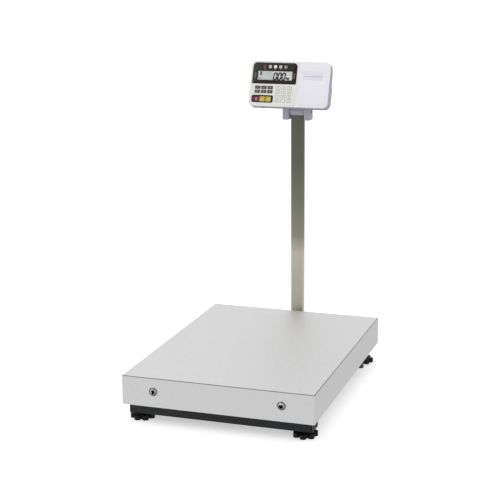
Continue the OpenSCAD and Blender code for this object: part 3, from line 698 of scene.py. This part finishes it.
# %% Front plate
def front_plate():
    """The whole front as one closed plate, with the number of open edges."""
    bm = bmesh.new()
    face = grow(panel_box, 0)
    outer = [ring(bm, face, CORNER, RETURN, CORNER_ARC)]
    for deep, by in front_round(0.0, (EDGE_DEPTH, 1.0), EDGE_STEPS):
        left, right, low, high = (by * width for width in EDGE_IN)
        box = [face[0] - left, face[1] + right, face[2] - low, face[3] + high]
        outer.append(ring(bm, box, CORNER + 2 * by, deep, CORNER_ARC))
        bmesh.ops.bridge_loops(bm, edges=outer[-2] + outer[-1])
    inner = stack(bm, grow(face, -PLATE), CORNER - PLATE, [(RETURN, 0.0), (PLATE, 0.0)],
                  CORNER_ARC)
    fill(bm, outer[0], inner[0])
    # the display's recess, and the opening for the glass behind it
    bezel = stack(bm, grow(bezel_box, SEAT_GAP), shift_radius(BEZEL_R, SEAT_GAP),
                  SOFT + [(RECESS, 0.0)])
    behind = [(RECESS, 0.0), (PLATE, 0.0)]
    hole = stack(bm, grow(glass_box, GLASS_GAP), GLASS_R, behind)
    fill(bm, bezel[-1], hole[0])
    # the recess of the frame round the large keys, with a hole for each key
    rings = stack(bm, grow(frame_box, SEAT_GAP), FRAME_R + SEAT_GAP, SOFT + [(RECESS, 0.0)])
    holes = [stack(bm, grow(limits(k), BIG_KEY_GAP - KEY_SKIRT), BIG_KEY_R, behind)
             for k in BIG_KEYS]
    fill(bm, rings[-1], *[h[0] for h in holes])
    openings = [bezel[0], rings[0]]
    through = [hole[-1]] + [h[-1] for h in holes]
    # a hole for each function key
    for key in F_KEYS:
        rings = stack(bm, grow(limits(key), F_KEY_GAP - KEY_SKIRT), F_KEY_R,
                      SOFT + [(PLATE, 0.0)])
        openings.append(rings[0])
        through.append(rings[-1])
    # the shallow bed of the number pad
    rings = stack(bm, grow(pad_box, PAD_GAP), PAD_R, [(0.0, 0.1), (0.1, 0.0), (PAD_BED, 0.0)])
    openings.append(rings[0])
    fill(bm, rings[-1])
    # the printer's door
    rings = stack(bm, grow(door_box, SEAT_GAP), DOOR_R, [(0.0, 0.12), (0.1, 0.0), (PLATE, 0.0)])
    openings.append(rings[0])
    through.append(rings[-1])
    fill(bm, outer[-1], *openings)
    fill(bm, inner[-1], *through)
    return bm, close_up(bm)

# %% Cut the plate at the line
for name, look, side in (("main_panel", white, -1), ("printer_panel", lilac, 1)):
    bm, loose = front_plate()
    cut = SPLIT + side * LINE / 2
    bmesh.ops.bisect_plane(
        bm, geom=[*bm.verts, *bm.edges, *bm.faces], plane_co=(cut, 0, 0),
        plane_no=(1, 0, 0), clear_outer=side < 0, clear_inner=side > 0)
    bmesh.ops.holes_fill(bm, edges=[e for e in bm.edges if e.is_boundary], sides=0)
    open_after = close_up(bm)
    keep(bm, name, "head", look, ("front_case",), HEAD)
    print(name, "open edges before and after the cut:", loose, open_after)

# %% [markdown]
# ## Display bezel, window and glass
# The bezel is a thin black plate with wide corners at its top. Its front edge is
# rounded and it has openings for the window and the five lamps. The window is
# clear, set a little back. The liquid crystal glass behind it is pale grey, a shade
# darker on its left half than on its right.

# %% Bezel, window and glass
lamp_box = limits("status_lamps")
LAMP = lamp_box[3] - lamp_box[2]
PITCH = (lamp_box[1] - lamp_box[0] - LAMP) / 4
lamps = [[lamp_box[0] + i * PITCH, lamp_box[0] + i * PITCH + LAMP, lamp_box[2], lamp_box[3]]
         for i in range(5)]

WINDOW_R, LAMP_R = 1.2, 1.6
HOLE_GAP = 0.15
bm = holed_plate(bezel_box, BEZEL_R, [(grow(glass_box, HOLE_GAP), WINDOW_R)]
                 + [(grow(b, HOLE_GAP), LAMP_R) for b in lamps])
print("bezel open edges:", close_up(bm))
keep(bm, "bezel_plate", "head", bezel_black, ("display_bezel",), HEAD)

# %% Window
# clear acrylic: mostly see-through, with a sharp highlight
clear_acrylic = finish("clear_acrylic", "#f4f6f6", 0.06, grain=4.0, relief=0.001, mottle=0.01,
                       ior=1.49)
sheer = clear_acrylic.node_tree.nodes["Principled BSDF"]
sheer.inputs["Transmission Weight"].default_value = 1.0
sheer.inputs["Alpha"].default_value = 0.12
WINDOW_BACK = 0.6
block("clear_window", clear_acrylic, "display_window", glass_box, GLASS_R, WINDOW_BACK,
      glass_box[4], 0.3)

print("window, mm:", [round(v, 1) for v in glass_box])

# %% Liquid crystal glass
# liquid crystal glass: pale grey-green with a soft shine, and a darker copy for its left half
lcd_paler_right = finish("liquid_crystal_glass", "#dcdfdc", 0.22, grain=0.6, relief=0.002, mottle=0.02)
lcd_darker_left = finish("liquid_crystal_glass_darker", "#cbd1ce", 0.22, grain=0.6, relief=0.002, mottle=0.03)
lcd_box = limits("lcd_module")
HALF = -61.0
GLASS_Y, GLASS_BACK, CARRIER_BACK = 1.3, 4.0, 8.0
crystal = grow(glass_box, 1.0)
for name, look, left, right in (("crystal_left", lcd_darker_left, crystal[0], HALF),
                                ("crystal_right", lcd_paler_right, HALF, crystal[1])):
    block(name, look, "lcd_module", [left, right, *crystal[2:]], 0.2, GLASS_BACK, GLASS_Y, 0.05)
block("crystal_carrier", moulded_black, "lcd_module", lcd_box, 1.0, CARRIER_BACK, GLASS_BACK, 0.4)
print("lamp size", round(LAMP, 2), "pitch", round(PITCH, 2))

# %% [markdown]
# ## Digits
# A weighing display forms its digits from seven bars. Each bar is a quad with its
# ends bevelled to points, laid out flat and then sheared to the right as real
# displays are. Text could give digits too, but a seven-bar digit has gaps at its
# joints that a typeface lacks.

# %% Seven-bar digits
BARS = {"a": (0.5, 1.0, 0), "b": (1.0, 0.75, 1), "c": (1.0, 0.25, 1), "d": (0.5, 0.0, 0),
        "e": (0.0, 0.25, 1), "f": (0.0, 0.75, 1), "g": (0.5, 0.5, 0)}
DIGIT_W, DIGIT_H, STROKE = 9.6, 27.6, 5.0
BAR_GAP = 0.2
BAR_TIP = 0.36
BAR_LIFT, BAR_THICK = 0.12, 0.1
SLANT = tan(radians(7))
# crystal that is switched on: nearly black, with a soft shine
black_crystal = finish("dark_crystal", "#1d1f21", 0.30, grain=0.5, relief=0.001, mottle=0.05)


def bar(bm, x, z, width, height, y=GLASS_Y):
    """One bar with pointed ends, a hair in front of the glass."""
    box = [x - width / 2, x + width / 2, z - height / 2, z + height / 2]
    outline = ring(bm, box, min(width, height) * BAR_TIP, y - BAR_LIFT, 1)
    thicken(bm, bmesh.ops.edgeloop_fill(bm, edges=outline)["faces"], BAR_THICK)


def digit(bm, x, z, lit="abcdef"):
    """A digit of the lit bars, a zero unless told otherwise, from its lower left."""
    for key in lit:
        across, up, tall = BARS[key]
        long = (DIGIT_H - STROKE) / 2 if tall else DIGIT_W
        size = (STROKE, long - BAR_GAP) if tall else (long - BAR_GAP, STROKE)
        bar(bm, x + across * DIGIT_W, z + up * (DIGIT_H - STROKE), *size)

# %% The reading
# left edges of the digits, the decimal point, and the small signs beside them
DIGIT_LEFTS = (-58.0, -43.0, -28.0)
POINT_X, POINT = -45.6, 3.0
SIGNS = ((-103.2, 38.4, 7.6, 5.6), (-103.2, 31.6, 7.6, 6.2), (-105.5, 16.6, 7.0, 2.6))
low_z = glass_box[2] + 1.8
bm = bmesh.new()
for left in DIGIT_LEFTS:
    digit(bm, left, low_z)
bar(bm, POINT_X, low_z + 0.4, POINT, POINT)
bmesh.ops.transform(bm, matrix=Matrix(((1, 0, SLANT, -SLANT * low_z), (0, 1, 0, 0), (0, 0, 1, 0),
                                       (0, 0, 0, 1))), verts=bm.verts)
for sign in SIGNS:
    bar(bm, *sign)
close_up(bm)
keep(bm, "display_digits", "head", black_crystal, (), HEAD)
print("digit height", DIGIT_H, "mm")

# %% [markdown]
# ## Lettering
# Only plain marks are used: a unit on the display, digits on the number pad, key
# numbers, and the usual arrows for zero and tare. Each is a text curve with a little
# thickness, made a mesh first, and then put in place with the head's matrix.

# %% Small text on the head
def letter(name, words, x, z, size, y, look, body="head", bold=0.0):
    """Puts text with its middle at x, z and its back at depth y."""
    curve = bpy.data.curves.new(name, "FONT")
    curve.body = words
    curve.size = 1.0
    curve.extrude = 0.03
    curve.resolution_u = 3
    curve.offset = bold
    holder = bpy.data.objects.new(name, curve)
    bpy.context.scene.collection.objects.link(holder)
    bpy.context.view_layer.update()
    mesh = bpy.data.meshes.new_from_object(holder)
    bpy.data.objects.remove(holder)
    bm = bmesh.new()
    bm.from_mesh(mesh)
    bpy.data.meshes.remove(mesh)
    bmesh.ops.remove_doubles(bm, verts=bm.verts, dist=1e-5)
    xs, zs = [v.co.x for v in bm.verts], [v.co.y for v in bm.verts]
    scale = size / (max(zs) - min(zs))
    bmesh.ops.translate(bm, vec=(-(max(xs) + min(xs)) / 2, -(max(zs) + min(zs)) / 2, 0),
                        verts=bm.verts)
    bmesh.ops.scale(bm, vec=(scale, scale, 1), verts=bm.verts)
    bmesh.ops.rotate(bm, matrix=Matrix.Rotation(pi / 2, 3, "X"), verts=bm.verts)
    bmesh.ops.translate(bm, vec=(x, y, z), verts=bm.verts)
    return keep(bm, name, body, look, (), HEAD)


letter("unit_mark", "kg", -7.8, low_z + 4.6, 11.6, GLASS_Y - 0.06, black_crystal,
       bold=0.06)
print("text on the display placed")

# %% [markdown]
# ## Lamps and legends
# Five translucent caps sit above the display. Each is a domed square. The first is
# dark red, the others are pale when unlit, each a little different because of the
# diode behind it. The short pale marks round the window are printed legends.

# %% Lamps and legend marks
LAMP_DISH = ((0.6, -0.1), (1.8, -0.22), (3.2, -0.28))
LAMP_COLOURS = ["#7a2a2e", "#c2c6c0", "#f4f1ea", "#c9bfbf", "#a08f94"]
for number, (box, code) in enumerate(zip(lamps, LAMP_COLOURS), 1):
    # translucent polycarbonate: an even colour under a glossy skin
    cap = finish(f"translucent_cap_{number}", code, 0.25, grain=1.5, relief=0.004, mottle=0.05,
                 clear=0.3, ior=1.58)
    block(f"lamp_{number}", cap, "status_lamps", grow(box, -0.1), 1.4, RECESS,
          lamp_box[4] + 0.3, 0.5, LAMP_DISH)

LEGEND_ROWS = (33.5, 27.0, 20.5)
SIDE_LEGEND, LAMP_LEGEND = (6.0, 1.3), (5.5, 1.1)
bm = bmesh.new()
front = bezel_box[4]
for side in (glass_box[0] - 9.0, glass_box[1] + 7.5):
    for z in LEGEND_ROWS:
        bar(bm, side, z, *SIDE_LEGEND, front)
for box in (lamps[0], lamps[2], lamps[3]):
    bar(bm, (box[0] + box[1]) / 2, box[2] - 3.6, *LAMP_LEGEND, front)
close_up(bm)
keep(bm, "bezel_legends", "head", ink_dim, (), HEAD)
print(len(lamps), "lamps")

# %% [markdown]
# ## Keys
# The keys are moulded caps with a rounded rim and a shallow dish for the finger.
# Each stands in its own hole and has a skirt behind the plate that stops it from
# falling out. They are separate pieces, because each one moves.

# %% Key caps
KEY_DISH = ((0.8, 0.06), (2.0, 0.16), (3.6, 0.22))
SKIRT_FRONT = 3.2


def key_cap(key, look, radius, edge, mark, size):
    """A key's cap with its skirt and dish, and the mark printed in its dish."""
    box = limits(key)
    face = grow(box, -KEY_SKIRT)
    bm = bmesh.new()
    rings = stack(bm, box, radius + KEY_SKIRT, [(box[5], 0.0), (SKIRT_FRONT, 0.0)])
    fill(bm, rings[0])
    fill(bm, rings[1])
    tablet(bm, face, radius, SKIRT_FRONT + 0.1, box[4], edge, KEY_DISH)
    close_up(bm)
    keep(bm, key + "_cap", key, look, (key,), HEAD)
    letter(key + "_mark", mark, (face[0] + face[1]) / 2, (face[2] + face[3]) / 2, size,
           box[4] + 0.18, ink_white, key)


for number, key in enumerate(F_KEYS, 1):
    key_cap(key, key_grey, 1.2, 0.6, f"F{number}", 3.6)
for key, look, mark, size in (("key_power", key_magenta, "O", 6.0),
                              ("key_zero", key_yellow, ">0<", 4.6),
                              ("key_tare", key_yellow, ">T<", 4.6)):
    key_cap(key, look, 2.2, 0.9, mark, size)

# %% Frame round the large keys
bm = holed_plate(frame_box, FRAME_R,
                 [(grow(limits(k), F_KEY_GAP - KEY_SKIRT), 2.5) for k in BIG_KEYS])
print("key frame open edges:", close_up(bm))
keep(bm, "key_surround", "head", frame_black, ("key_frame",), HEAD)

# %% [markdown]
# ## Number pad
# The number pad is one printed membrane with twelve raised pads. The raised pads
# and their thin printed outlines are what make it readable from a distance, so both
# are modelled, and a digit stands on each pad.

# %% Places of the twelve pads
pad_x, pad_z = [], []
for v in frame["nodes"]["number_pad"].data.vertices:
    point = HEAD.inverted() @ v.co
    if point.y < pad_box[4] + 0.05:
        pad_x.append(round(point.x, 1))
        pad_z.append(round(point.z, 1))
PAD = (16.5, 12.0)
# width of a pad's printed outline, and how far in it starts
OUTLINE, OUTLINE_IN = 0.85, 0.45
SMALL_MARKS = {".": 1.2, "=": 2.4}
MARK_NAMES = {".": "dot", "=": "enter"}
left, right = min(pad_x) + PAD[0] / 2, max(pad_x) - PAD[0] / 2
low, high = min(pad_z) + PAD[1] / 2, max(pad_z) - PAD[1] / 2
columns = [left + (right - left) * i / 2 for i in range(3)]
rows = [high + (low - high) * i / 3 for i in range(4)]
MARKS = ["789", "456", "123", "0.="]
print("columns", columns, "rows", rows)

# %% Pads, outlines and digits
bm = bmesh.new()
tablet(bm, pad_box, 2.0, 0.4, -0.1, 0.1)
outlines = bmesh.new()
for z, words in zip(rows, MARKS):
    for x, mark in zip(columns, words):
        box = [x - PAD[0] / 2, x + PAD[0] / 2, z - PAD[1] / 2, z + PAD[1] / 2]
        tablet(bm, box, 3.0, 0.1, pad_box[4], 0.25)
        rims = [ring(outlines, grow(box, -OUTLINE_IN - inset), 2.5 - inset, pad_box[4] + 0.03)
                for inset in (0.0, OUTLINE)]
        flat = bmesh.ops.bridge_loops(outlines, edges=rims[0] + rims[1])["faces"]
        thicken(outlines, flat, -0.08)
        letter("pad_digit_" + MARK_NAMES.get(mark, mark), mark, x, z, SMALL_MARKS.get(mark, 5.4),
               pad_box[4] - 0.02, ink_grey, bold=0.02)
close_up(bm)
close_up(outlines)
keep(bm, "number_membrane", "head", membrane, ("number_pad",), HEAD)
keep(outlines, "number_outlines", "head", ink_grey, (), HEAD)
print("pads:", sum(len(words) for words in MARKS))

# %% [markdown]
# ## Printer door
# The door is a lilac plate with a sunk paper exit near its top. The exit has two
# flaps with the slot for the labels between them. A hinge barrel runs along
# the door's bottom edge. The flaps are separate pieces whose colour is darkened by
# painted shade, for the shade of the sunk edge that they lie in.

# %% Door and barrel
bar_box = limits("tear_bar")
exit_box = [bar_box[0] - 5.0, bar_box[1] + 5.0, bar_box[2] - 14.5, bar_box[2] + 10.0]
SLOT = [exit_box[0] + 4.0, exit_box[1] - 4.0, bar_box[2] - 4.0, bar_box[2] - 1.0]
# depth of the paper exit, and the gap between its flaps
SUNK = 1.3
GAP = 0.8
FLAP_IN = 0.6
BARREL_R = 2.0
pin_place = HEAD.inverted() @ Vector(joint("cover_hinge")["pos_m"])

bm = bmesh.new()
shell = [door_box[0], door_box[1], pin_place.z, door_box[3]]
rings = stack(bm, shell, (3.0, 0.3), [(PLATE, 0.0)] + front_round(0.0, 0.6))
sunk = stack(bm, exit_box, 1.0, [(0.0, 0.35), (0.1, 0.1), (0.35, 0.0), (SUNK, 0.0)])
slot = stack(bm, SLOT, 0.5, [(SUNK, 0.0), (PLATE, 0.0)])
fill(bm, rings[-1], sunk[0])
fill(bm, sunk[-1], slot[0])
fill(bm, rings[0], slot[-1])
print("door open edges:", close_up(bm))
barrel = bmesh.ops.create_cone(bm, cap_ends=True, segments=32, radius1=BARREL_R, radius2=BARREL_R,
                               depth=door_box[1] - door_box[0] - 1.0)["verts"]
bmesh.ops.rotate(bm, matrix=Matrix.Rotation(pi / 2, 3, "Y"), verts=barrel)
bmesh.ops.translate(bm, vec=((door_box[0] + door_box[1]) / 2, pin_place.y, pin_place.z),
                    verts=barrel)
keep(bm, "printer_door", "cover", lilac, ("printer_cover",), HEAD)

# %% Flaps of the paper exit
# the flaps take the lilac darkened by painted shade
bm = bmesh.new()
meet = (SLOT[2] + SLOT[3]) / 2
flaps = grow(exit_box, -FLAP_IN)
for low_edge, high_edge in ((flaps[2], meet - GAP / 2), (meet + GAP / 2, flaps[3])):
    tablet(bm, [flaps[0], flaps[1], low_edge, high_edge], 0.6, SUNK + 0.1, 0.5, 0.4)
close_up(bm)
keep(bm, "paper_exit_flaps", "cover", lilac_painted_shade, (), HEAD)
print("paper exit, mm:", [round(v, 1) for v in exit_box])

# %% [markdown]
# ## Label roll
# A roll of labels is a tight spiral of backing paper round a card core. The turns
# show as rings on its sides. Shallow grooves are spun into the sides so that the
# rings are real, and the core stands slightly proud.

# %% Label roll
def spun(points, axis, steps):
    """Spins a line of points once round an axis through the middle."""
    bm = bmesh.new()
    verts = [bm.verts.new(p) for p in points]
    edges = [bm.edges.new(pair) for pair in zip(verts, verts[1:])]
    bmesh.ops.spin(bm, geom=verts + edges, cent=(0, 0, 0), axis=axis, angle=2 * pi,
                   steps=steps, use_merge=True)
    return bm, close_up(bm)


roll_box = limits("label_roll")
R_OUT = (roll_box[3] - roll_box[2]) / 2
R_IN, CORE = 6.5, 1.2
HALF_W = (roll_box[1] - roll_box[0]) / 2
TURNS = 9
profile = [(R_IN, HALF_W), (R_IN + CORE, HALF_W), (R_IN + CORE, HALF_W - 0.5)]
for i in range(TURNS):
    r = R_IN + CORE + (R_OUT - R_IN - CORE) * (i + 0.5) / TURNS
    profile += [(r, HALF_W - 0.15), (r + 0.5, HALF_W - 0.45)]
profile += [(R_OUT, HALF_W - 0.3)]
points = [(x, 0.0, r) for r, x in profile + [(r, -x) for r, x in reversed(profile)]]
bm, loose = spun(points + points[:1], (1, 0, 0), 64)
print("roll open edges:", loose)
bmesh.ops.translate(bm, vec=((roll_box[0] + roll_box[1]) / 2, (roll_box[4] + roll_box[5]) / 2,
                             (roll_box[2] + roll_box[3]) / 2), verts=bm.verts)
keep(bm, "roll_of_labels", "roll", paper, ("label_roll",), HEAD, angle=40)

# %% [markdown]
# ## Bubble level
# The level is a round vial of tinted fluid with a bubble, under a clear dome. The
# ring printed round the middle shows when the bubble is centred. All three are spun
# from short profiles.

# %% Bubble level
# tinted fluid under its dome: glossy yellow-green, and a paler bubble in it
fluid = finish("tinted_fluid", "#a8b070", 0.10, grain=3.0, relief=0.001, mottle=0.05, clear=0.8,
               ior=1.46)
bubble_look = finish("air_bubble", "#e2e8c8", 0.05, grain=3.0, relief=0.001, mottle=0.02)


def turned(points):
    """Spins a profile of radius and height round Z, in mm, closed at the axis."""
    return spun([(r, 0.0, h) for r, h in points], (0, 0, 1), 48)[0]


vial_low, vial_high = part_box("level_vial")
centre = (vial_low + vial_high) / 2
VIAL_R = (vial_high.x - vial_low.x) / 2 / MM
VIAL_H = (vial_high.z - vial_low.z) / MM
seat = Matrix.Translation((centre.x, centre.y, vial_low.z)) @ Matrix.Scale(MM, 4)
keep(turned([(0, 0), (VIAL_R, 0), (VIAL_R, VIAL_H - 1.6), (VIAL_R - 1.2, VIAL_H - 0.6),
             (VIAL_R - 3.4, VIAL_H - 0.1), (0, VIAL_H)]),
     "vial_fluid", "stand", fluid, ("level_vial",), seat)
keep(turned([(3.0, VIAL_H - 0.35), (3.5, VIAL_H - 0.4), (3.5, VIAL_H + 0.02), (3.0, VIAL_H + 0.04),
             (3.0, VIAL_H - 0.35)]),
     "vial_ring", "stand", black_crystal, (), seat)
keep(turned([(0, VIAL_H - 0.3), (1.9, VIAL_H - 0.2), (2.0, VIAL_H), (0, VIAL_H + 0.15)]),
     "vial_bubble", "stand", bubble_look, (), seat)
print("vial radius", round(VIAL_R, 2), "height", round(VIAL_H, 2))

# %% [markdown]
# ## Floor and light
# The floor is plain and white. A room round such a scale is bright, but the
# operator's side of it, above eye height, is darker, and glossy faces that lean back
# mirror that part. So the sky is white with one soft-edged dark patch up in front,
# which keeps the bezel black. The sky is also a little brighter up and to the front
# left, and dimmer straight below. The floor is kept out of reflections and bounced
# light, because so much white so close would wash out the black base. One large soft
# light hangs to the left and a weaker one fills from the right.

# %% Floor
FLOOR_HALF = 30.0
FLOOR_GLOW = 0.5
# matt white floor: some light of its own keeps it white out to the horizon
backdrop = finish("matt_white_floor", "#dedede", 0.9, grain=40.0, relief=0.0, mottle=0.0)
glow = backdrop.node_tree.nodes["Principled BSDF"]
glow.inputs["Emission Color"].default_value = linear("#ffffff")
glow.inputs["Emission Strength"].default_value = FLOOR_GLOW
bm = bmesh.new()
bmesh.ops.create_grid(bm, x_segments=1, y_segments=1, size=FLOOR_HALF)
mesh = bpy.data.meshes.new("floor")
bm.to_mesh(mesh)
bm.free()
mesh.materials.append(backdrop)
floor = bpy.data.objects.new("floor", mesh)
bpy.context.scene.collection.objects.link(floor)
floor.visible_diffuse = False
floor.visible_glossy = False
floor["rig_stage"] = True
print("floor", 2 * FLOOR_HALF, "m across")

# %% Sky with a dark patch, and the soft lights
SKY = 0.975
SKY_LEAN = (-0.13, -0.10, 0.15)
PATCH_WAY = Vector((-0.25, -0.78, 0.57)).normalized()
PATCH_INNER, PATCH_OUTER = cos(radians(18)), cos(radians(38))
PATCH_SKY = 0.08
BELOW_SKY = 0.30
AIM = Vector((0.0, 0.0, 0.45))
sky = bpy.data.worlds.new("studio")
sky.use_nodes = True
tree = sky.node_tree
ray = add(tree, "TexCoord").outputs["Generated"]
lean = add(tree, "VectorMath", {0: ray, 1: SKY_LEAN}, operation="DOT_PRODUCT")
tone = add(tree, "Math", {0: lean.outputs["Value"], 1: SKY}, operation="ADD")
rise = add(tree, "SeparateXYZ", {"Vector": ray})
below = add(tree, "MapRange", {"Value": rise.outputs["Z"], "From Min": -0.98, "From Max": -0.66,
                               "To Min": BELOW_SKY, "To Max": 1.0})
toward = add(tree, "VectorMath", {0: ray, 1: PATCH_WAY}, operation="DOT_PRODUCT")
patch = add(tree, "MapRange", {"Value": toward.outputs["Value"], "From Min": PATCH_OUTER,
                               "From Max": PATCH_INNER, "To Min": 1.0, "To Max": PATCH_SKY})
shaded = add(tree, "Math", {0: tone.outputs[0], 1: below.outputs[0]}, operation="MULTIPLY")
strength = add(tree, "Math", {0: shaded.outputs[0], 1: patch.outputs[0]}, operation="MULTIPLY")
tree.links.new(strength.outputs[0], tree.nodes["Background"].inputs["Strength"])
tree.nodes["Background"].inputs["Color"].default_value = linear("#ffffff")
bpy.context.scene.world = sky

SOFT_BOXES = [
    ("key_softbox", (-2.4, -2.2, 3.2), 2.4, 24.0),
    ("fill_softbox", (2.8, -1.6, 2.2), 2.0, 5.0),
]
for name, spot, side, watts in SOFT_BOXES:
    light = bpy.data.lights.new(name, "AREA")
    light.shape = "SQUARE"
    light.size = side
    light.energy = watts
    lamp = bpy.data.objects.new(name, light)
    lamp.location = spot
    aim = AIM - Vector(spot)
    lamp.rotation_euler = aim.to_track_quat("-Z", "Y").to_euler()
    bpy.context.scene.collection.objects.link(lamp)
bpy.context.scene.view_settings.view_transform = "Standard"
print("softboxes:", len(SOFT_BOXES))

# %% [markdown]
# ## The size
# The finished pieces must stay within the engineering model's box. The box of
# the finished pieces is printed. Both boxes are
# written down, so that they can be compared.

# %% Print the box of the finished pieces
low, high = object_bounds()
print("visual box, m:", [round(v, 4) for v in (*low, *high)])
